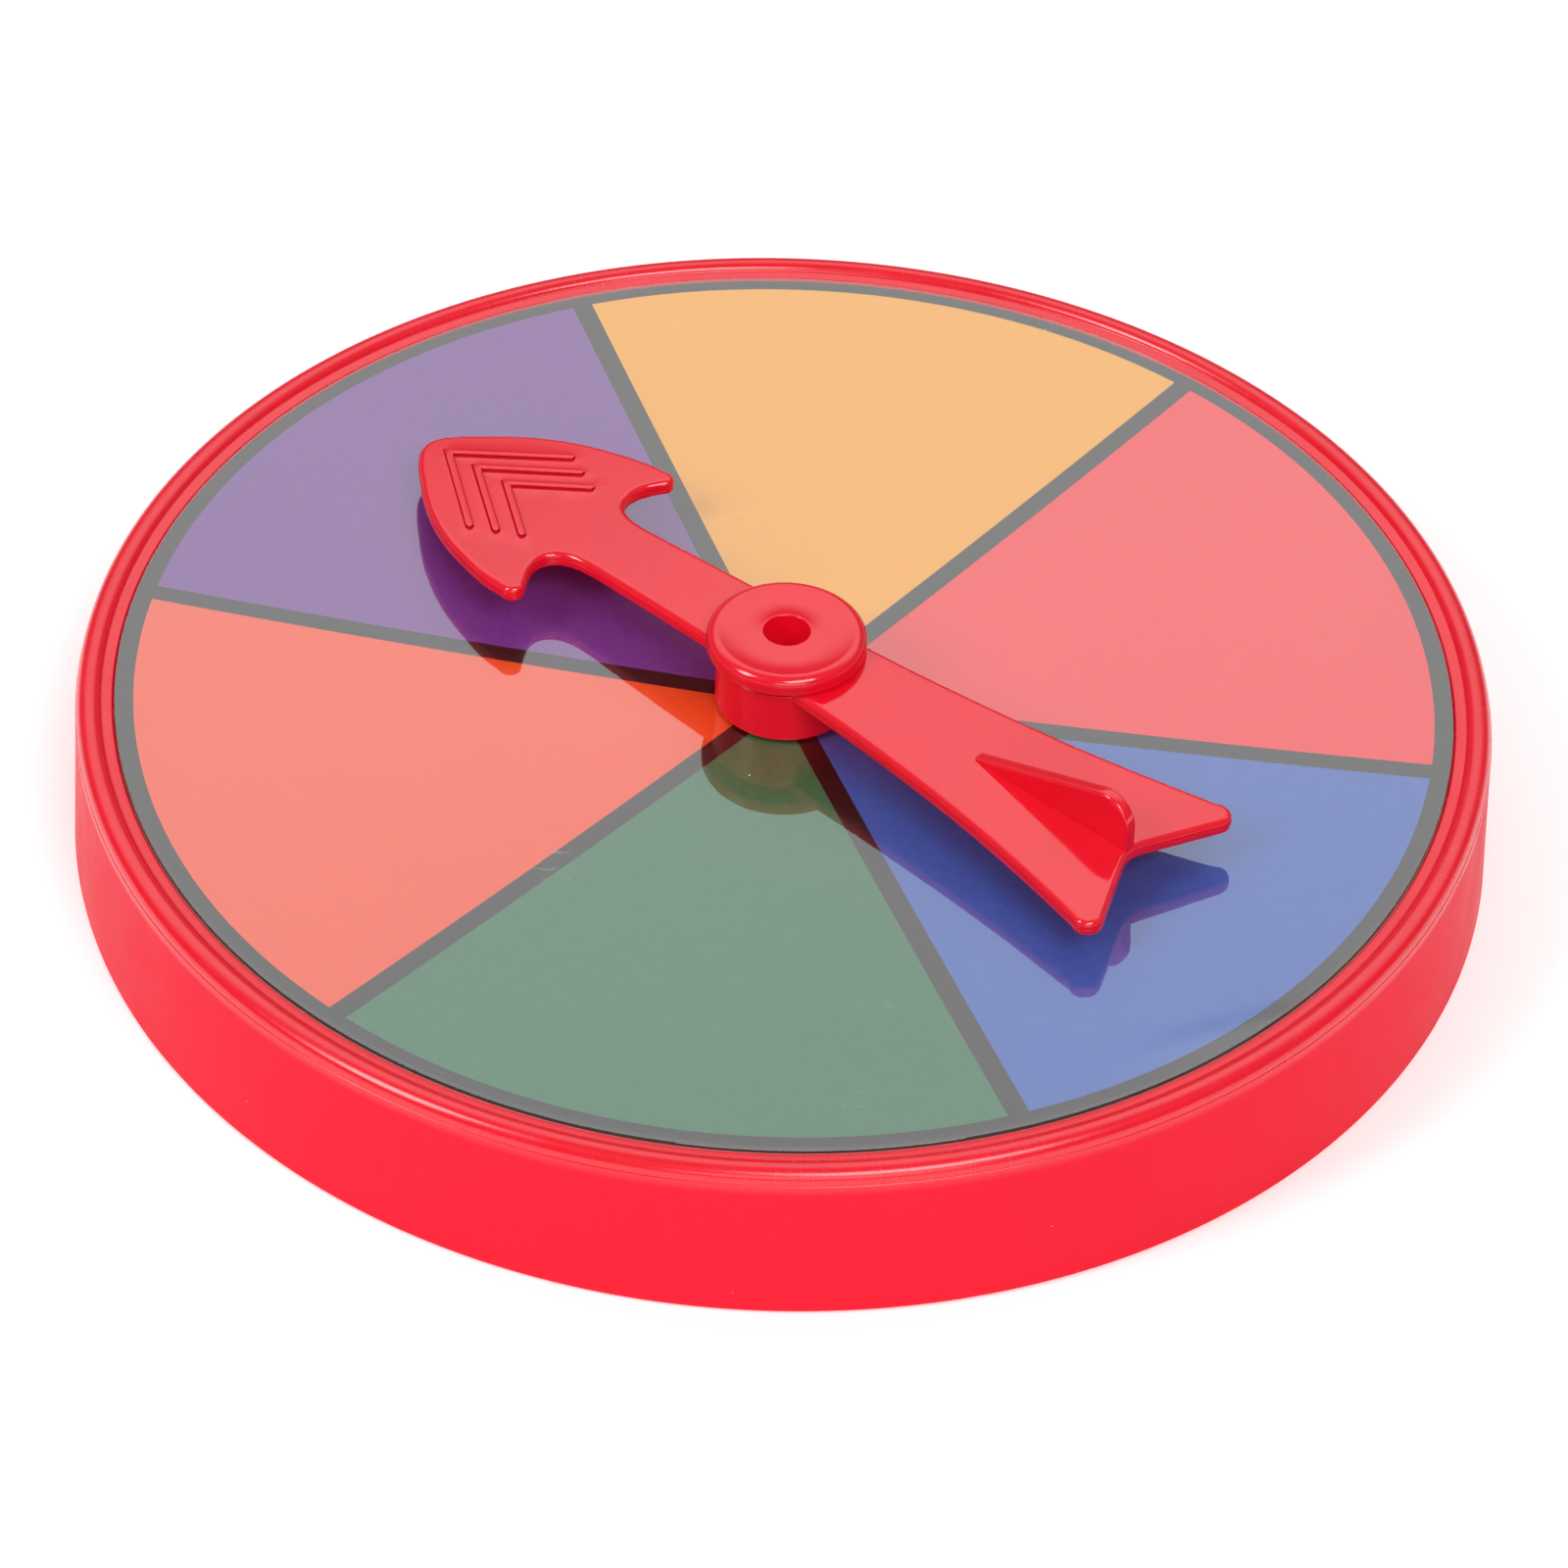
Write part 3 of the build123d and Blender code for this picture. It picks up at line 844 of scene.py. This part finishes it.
def arrow_outline():
    up = arrow_half(
        [(19.52, 9.00), (18.55, 8.62), (18.42, 7.86)],
        [(18.98, 6.95), (19.50, 6.02), (19.74, 5.03), (19.44, 4.06)],
    )
    down = arrow_half(
        [(19.80, 9.05), (18.86, 8.74), (18.74, 8.00)],
        [(19.32, 7.10), (19.78, 6.10), (19.88, 5.05), (19.50, 4.05)],
    )
    return up + [(-31.32, 0.0)] + [(u, -v) for u, v in down[1:]][::-1]


def offset_loop(loop, d):
    """The loop moved inwards by d along its vertex normals."""
    P = np.array(loop)
    n = len(P)
    e = np.roll(P, -1, axis=0) - P
    e /= np.linalg.norm(e, axis=1)[:, None]
    nrm = np.stack([-e[:, 1], e[:, 0]], 1)
    prev = np.roll(nrm, 1, axis=0)
    m = nrm + prev
    m /= np.linalg.norm(m, axis=1)[:, None]
    c = np.clip((m * nrm).sum(1), 0.5, 1)
    return P + m * (d / c)[:, None]


def chevron_loop(apex, end_u, end_v, w, arm_n=9, cap_n=6):
    """Closed loop round a V-shaped stroke of half-width w."""
    ang = math.atan2(end_v, apex - end_u)
    d = Vector((math.cos(ang), -math.sin(ang)))          # end -> apex on the +v arm
    n = Vector((math.sin(ang), math.cos(ang)))           # outwards on the +v arm
    e = Vector((end_u, end_v))
    tip = Vector((apex, 0.0))
    mitre = w / math.sin(ang)
    outer, inner = [], []
    for k in range(arm_n + 1):
        t = k / arm_n
        outer.append((e + n * w).lerp(tip + Vector((mitre, 0)), t))
        inner.append((e - n * w).lerp(tip - Vector((mitre, 0)), t))
    cap = []
    for k in range(1, cap_n):
        a = math.pi * k / cap_n
        cap.append(e - n * (w * math.cos(a)) - d * (w * math.sin(a)))
    up = outer
    low_outer = [Vector((p.x, -p.y)) for p in outer[:-1]][::-1]
    low_inner = [Vector((p.x, -p.y)) for p in inner[:-1]]
    cap_low = [Vector((p.x, -p.y)) for p in cap][::-1]
    loop = list(cap) + up + low_outer + cap_low + low_inner + [inner[-1]] + inner[:-1][::-1]
    # counts: cap_n-1 | 2*arm_n+1 | cap_n-1 | 2*arm_n+1
    return [tuple(p) for p in loop]


def inside(poly, x, y):
    n = len(poly)
    hit = False
    j = n - 1
    for i in range(n):
        xi, yi = poly[i]
        xj, yj = poly[j]
        if (yi > y) != (yj > y) and x < (xj - xi) * (y - yi) / (yj - yi) + xi:
            hit = not hit
        j = i
    return hit


def far_from(P, x, y, d):
    return (np.hypot(P[:, 0] - x, P[:, 1] - y)).min() > d


def fill_region(bm, outer, holes, height, spacing, flip):
    """Triangulated surface inside outer and outside holes. Each loop is a list of (u, v, vert)."""
    coords, verts, edges = [], [], []
    for loop in [outer] + holes:
        s = len(coords)
        for u, v, vert in loop:
            coords.append(Vector((u, v)))
            verts.append(vert)
        m = len(loop)
        edges += [(s + i, s + (i + 1) % m) for i in range(m)]
    flat = np.array([(c.x, c.y) for c in coords])
    out_poly = [(u, v) for u, v, _ in outer]
    hole_polys = [[(u, v) for u, v, _ in h] for h in holes]
    lo, hi = flat.min(0), flat.max(0)
    row = 0
    y = lo[1] + spacing / 2
    while y < hi[1]:
        x = lo[0] + spacing / 2 + (spacing / 2 if row % 2 else 0)
        while x < hi[0]:
            if inside(out_poly, x, y) and not any(inside(h, x, y) for h in hole_polys) and far_from(flat, x, y, spacing * 0.55):
                coords.append(Vector((x, y)))
                verts.append(None)
            x += spacing
        y += spacing * 0.866
        row += 1
    oc, oe, of, ov, _, _ = delaunay_2d_cdt(coords, edges, [], 0, 1e-6)
    made = []
    for i, c in enumerate(oc):
        src = [k for k in ov[i] if k < len(verts) and verts[k] is not None]
        if src:
            made.append(verts[src[0]])
        else:
            made.append(None)
    for f in of:
        cx = sum(oc[k].x for k in f) / len(f)
        cy = sum(oc[k].y for k in f) / len(f)
        if not inside(out_poly, cx, cy) or any(inside(h, cx, cy) for h in hole_polys):
            continue
        vs = []
        for k in f:
            if made[k] is None:
                made[k] = bm.verts.new(place(oc[k].x, oc[k].y, height(oc[k].x)))
            vs.append(made[k])
        if flip:
            vs = vs[::-1]
        try:
            bm.faces.new(vs)
        except ValueError:
            pass


CA, SA = math.cos(ANGLE), math.sin(ANGLE)


def place(u, v, z):
    v += BLADE_V
    return (u * CA - v * SA, u * SA + v * CA, z)


def make_pointer():
    bm = bmesh.new()
    outline = arrow_outline()
    top, low = 0.45, 0.20

    def z_top(u):
        return PLATE_TOP - fall(u)

    # rings from the underside's inner edge, round the side, to the top's inner edge
    rings = []
    for k in range(4):
        a = math.pi / 2 * k / 3
        rings.append((low * (1 - math.sin(a)), -THICK + low * (1 - math.cos(a))))
    rings += [(0.0, -THICK + low + 0.05), (0.0, -0.74), (-0.02, -0.70), (-0.02, -0.66), (0.0, -0.62), (0.0, -top - 0.03)]
    for k in range(8):
        a = math.pi / 2 * k / 7
        rings.append((top * (1 - math.cos(a)), -top + top * math.sin(a)))
    rings.append((top + 0.05, 0.0))
    loops = []
    for d, h in rings:
        P = offset_loop(outline, d)
        src = P if d < 0.2 else P
        loops.append([(u, v, bm.verts.new(place(u, v, z_top(u) + h))) for u, v in src])
    n = len(outline)
    for a, b in zip(loops, loops[1:]):
        for k in range(n):
            j = (k + 1) % n
            bm.faces.new((a[k][2], a[j][2], b[j][2], b[k][2]))
    # chevron ribs
    chevron_feet = []
    arm_n, cap_n = 10, 6
    for apex, end_u, end_v in ((33.35, 26.07, 5.44), (30.50, 24.30, 4.54), (27.53, 22.52, 3.69)):
        stack = [(0.375, 0.0), (0.335, 0.004), (0.305, 0.035), (0.285, 0.10), (0.262, 0.19), (0.225, 0.237), (0.165, 0.25)]
        prev = None
        for level, (w, h) in enumerate(stack):
            loop = [(u, v, bm.verts.new(place(u, v, z_top(u) + h))) for u, v in chevron_loop(apex, end_u, end_v, w, arm_n, cap_n)]
            if prev is None:
                chevron_feet.append(loop)
            else:
                m = len(loop)
                for k in range(m):
                    j = (k + 1) % m
                    face = bm.faces.new((prev[k][2], prev[j][2], loop[j][2], loop[k][2]))
                    # the steep rib walls take the darker copy, painted shade standing in for the shade in the
                    # creases
                    if 2 <= level <= 4:
                        face.material_index = 1
            prev = loop
        vs = [p[2] for p in prev]
        c = cap_n - 1
        side = 2 * arm_n + 1
        outer = vs[c:c + side]
        inner = vs[2 * c + side:][::-1]
        for k in range(side - 1):
            bm.faces.new((outer[k], inner[k], inner[k + 1], outer[k + 1]))
        bm.faces.new([inner[0]] + vs[:c] + [outer[0]])
        bm.faces.new([outer[-1]] + vs[c + side:2 * c + side] + [inner[-1]])
    fill_region(bm, loops[-1], chevron_feet, lambda u: z_top(u), 1.3, False)
    fill_region(bm, loops[0], [], lambda u: z_top(u) - THICK, 1.8, True)
    body = new_object("arrow_pointer", bm)
    body.data.materials.append(arrow_mat)
    body.data.materials.append(rib_wall_painted_shade_mat)

    # drum under and through the plate
    dm = bmesh.new()
    prof = fillet(
        [(2.2, DRUM_Z), (5.0, DRUM_Z), (4.985, PLATE_TOP - THICK / 2), (2.2, PLATE_TOP - THICK / 2)],
        [0, 0.18, 0.05, 0], 4,
    )
    lathe(dm, held(prof), 160, 0.003)
    boolean(body, new_object("drum_tool", dm), "UNION")

    # upright fin
    fm = bmesh.new()
    base_z = z_top(-17.6)
    head = [
        (-17.6, base_z - 0.7),
        (-17.6, base_z + 0.12),
        (-31.25, PLATE_TOP + 4.35),
        (-31.25, z_top(-31.25) - THICK + 0.2),
    ]
    side = fillet(head, [0, 0, 2.2, 0], 10)
    dense = []
    for i, p in enumerate(side):
        q = side[(i + 1) % len(side)]
        dense += straight(p, q, 1.0)
    rnd = 0.24
    layers = []
    for k in range(6):
        a = math.pi / 2 * k / 5
        layers.append((rnd * (1 - math.sin(a)), -(0.5 - rnd) - rnd * math.cos(a)))
    layers = [(rnd + 0.05, -0.5)] + layers
    layers = layers + [(d, -w) for d, w in layers[::-1]]
    area = sum(p[0] * q[1] - q[0] * p[1] for p, q in zip(dense, dense[1:] + dense[:1]))
    if area < 0:
        dense = dense[::-1]
    rows = []
    for d, w in layers:
        P = offset_loop(dense, d)
        row = []
        for u, z in P:
            draft = 1.0 + 0.022 * (z_top(-24.0) + 2.0 - z)
            row.append(fm.verts.new(place(u, w * draft, z)))
        rows.append(row)
    m = len(dense)
    for a, b in zip(rows, rows[1:]):
        for k in range(m):
            j = (k + 1) % m
            fm.faces.new((a[k], a[j], b[j], b[k]))
    fm.faces.new(rows[0])
    fm.faces.new(rows[-1][::-1])
    boolean(body, new_object("fin_tool", fm), "UNION")

    # bore
    cm = bmesh.new()
    ring0 = [cm.verts.new((2.46 * math.cos(TAU * k / 96), 2.46 * math.sin(TAU * k / 96), DRUM_Z - 1)) for k in range(96)]
    ring1 = [cm.verts.new((2.46 * math.cos(TAU * k / 96), 2.46 * math.sin(TAU * k / 96), PLATE_TOP + 1)) for k in range(96)]
    for k in range(96):
        j = (k + 1) % 96
        cm.faces.new((ring0[k], ring0[j], ring1[j], ring1[k]))
    cm.faces.new(ring0[::-1])
    cm.faces.new(ring1)
    boolean(body, new_object("bore_tool", cm), "DIFFERENCE")
    finish_shading(body, "arrow_pointer", 35.0)
    return body


# -------------------------------------------------------------------- pin
def make_pin():
    head_z = PIN_TOP - 1.41
    r, rr = PIN_R, 0.75
    prof = fillet_open(
        [(1.65, 6.0), (1.65, pin_lo.z), (2.05, pin_lo.z), (2.95, 3.8), (2.95, 4.5), (2.40, 4.5), (2.40, head_z), (r, head_z), (r, PIN_TOP - rr)],
        [0, 0.08, 0.10, 0.15, 0.10, 0.12, 0.10, 0.16, 0], 4,
    )[1:-1]
    prof += [(2.40, 0)][:0]
    prof.append((r, PIN_TOP - rr - 0.04))
    for k in range(11):
        a = math.pi / 2 * k / 10
        prof.append((r - rr * (1 - math.cos(a)), PIN_TOP - rr * (1 - math.sin(a))))
    # shallow dish with soft shoulders, then the lip round the core hole
    dish = arc3((r - rr, PIN_TOP), (3.3, PIN_TOP - 0.16), (1.77, PIN_TOP - 0.06), 16)
    prof += dish[1:-1]
    prof += [(1.80, PIN_TOP - 0.062), (1.765, PIN_TOP - 0.058), (1.71, PIN_TOP - 0.070), (1.67, PIN_TOP - 0.105), (1.652, PIN_TOP - 0.16), (1.65, PIN_TOP - 0.25)]
    prof += [(1.65, PIN_TOP - 3.0), (1.65, 10.0)]
    bm = bmesh.new()
    lathe(bm, prof, 224)
    ob = new_object("pivot_snap_pin", bm)
    for turn in (0, 1):
        sm = bmesh.new()
        bmesh.ops.create_cube(sm, size=1.0)
        for v in sm.verts:
            x, y, z = v.co
            if z > 0:
                zz = 8.5
            else:
                zz = pin_lo.z - 1
            v.co = (x * 12, y * 0.9, zz) if turn == 0 else (x * 0.9, y * 12, zz)
        boolean(ob, new_object("slot_tool", sm), "DIFFERENCE")
    finish_shading(ob, "pivot_snap_pin")
    ob.data.materials.clear()
    ob.data.materials.append(pin_mat)
    return ob


tray = make_tray()
tray.data.materials.clear()
tray.data.materials.append(tray_mat)
card = make_card()
film = make_film()
pointer = make_pointer()
pin = make_pin()

for piece, body, node, slot in (
    (tray, "base", "base_tray", "tray_plastic"),
    (card, "base", "sector_card", "printed_card"),
    (film, "base", "clear_film", "clear_film"),
    (pointer, "pointer", "pointer", "pointer_plastic"),
    (pin, "base", "pivot_pin", "pin_plastic"),
):
    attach(piece, body)
    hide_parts(node)

# ------------------------------------------------------------ floor and light
floor_bm = bmesh.new()
bmesh.ops.create_grid(floor_bm, x_segments=2, y_segments=2, size=2500)
floor = new_object("studio_floor", floor_bm)
fm = Nodes("studio_floor_white")
fm.bsdf.inputs["Base Color"].default_value = (0.93, 0.93, 0.93, 1)
fm.bsdf.inputs["Roughness"].default_value = 0.9
fm.bsdf.inputs["Specular IOR Level"].default_value = 0.0
fm.bsdf.inputs["Emission Color"].default_value = (1, 1, 1, 1)
fm.bsdf.inputs["Emission Strength"].default_value = 0.25
floor.data.materials.append(fm.mat)

world = bpy.data.worlds.new("studio")
scene.world = world
world.use_nodes = True
wt = world.node_tree
wt.nodes.clear()
w_out = wt.nodes.new("ShaderNodeOutputWorld")
w_bg = wt.nodes.new("ShaderNodeBackground")
w_tc = wt.nodes.new("ShaderNodeTexCoord")
w_sep = wt.nodes.new("ShaderNodeSeparateXYZ")
w_map = wt.nodes.new("ShaderNodeMapRange")
w_map.inputs["From Min"].default_value = 0.10
w_map.inputs["From Max"].default_value = 0.58
w_map.inputs["To Min"].default_value = 0.10
w_map.inputs["To Max"].default_value = 1.32
w_map.interpolation_type = "SMOOTHSTEP"
wt.links.new(w_tc.outputs["Generated"], w_sep.inputs[0])
wt.links.new(w_sep.outputs["Y"], w_map.inputs["Value"])
# the backdrop falls off towards the horizon
w_low = wt.nodes.new("ShaderNodeMapRange")
w_low.inputs["From Min"].default_value = 0.45
w_low.inputs["From Max"].default_value = 0.68
w_low.inputs["To Min"].default_value = 0.0
w_low.inputs["To Max"].default_value = 1.0
w_low.interpolation_type = "SMOOTHSTEP"
wt.links.new(w_sep.outputs["Z"], w_low.inputs["Value"])
w_mul = wt.nodes.new("ShaderNodeMath")
w_mul.operation = "MULTIPLY_ADD"
wt.links.new(w_map.outputs[0], w_mul.inputs[0])
wt.links.new(w_low.outputs[0], w_mul.inputs[1])
w_mul.inputs[2].default_value = 0.18
wt.links.new(w_mul.outputs[0], w_bg.inputs["Strength"])
w_bg.inputs["Color"].default_value = (1, 1, 1, 1)
wt.links.new(w_bg.outputs[0], w_out.inputs["Surface"])


def softbox(name, az, el, dist, w, h, radiance):
    """Rectangular soft light seen from the object at azimuth az (0 is the camera side, + to the right)."""
    d = Vector((math.cos(el) * math.sin(az), -math.cos(el) * math.cos(az), math.sin(el)))
    data = bpy.data.lights.new(name, "AREA")
    data.shape = "RECTANGLE"
    data.size = w
    data.size_y = h
    # an area light of this power shows that radiance from the front
    data.energy = radiance * math.pi * w * h
    ob = bpy.data.objects.new(name, data)
    scene.collection.objects.link(ob)
    ob.location = d * dist
    ob.rotation_euler = (-d).to_track_quat("-Z", "Y").to_euler()
    return ob


softbox("soft_left", math.radians(-62), math.radians(42), 1.2, 0.32, 0.55, 9.5)
softbox("soft_right", math.radians(25), math.radians(50), 1.2, 0.62, 0.42, 7.5)
softbox("soft_fill", math.radians(8), math.radians(22), 1.4, 1.0, 0.5, 1.8)

scene.cycles.max_bounces = 6
scene.cycles.diffuse_bounces = 3
scene.cycles.glossy_bounces = 4
scene.cycles.transparent_max_bounces = 12
scene.view_settings.view_transform = "Standard"
scene.view_settings.look = "None"
scene.view_settings.exposure = 0.0
scene.view_settings.gamma = 1.0
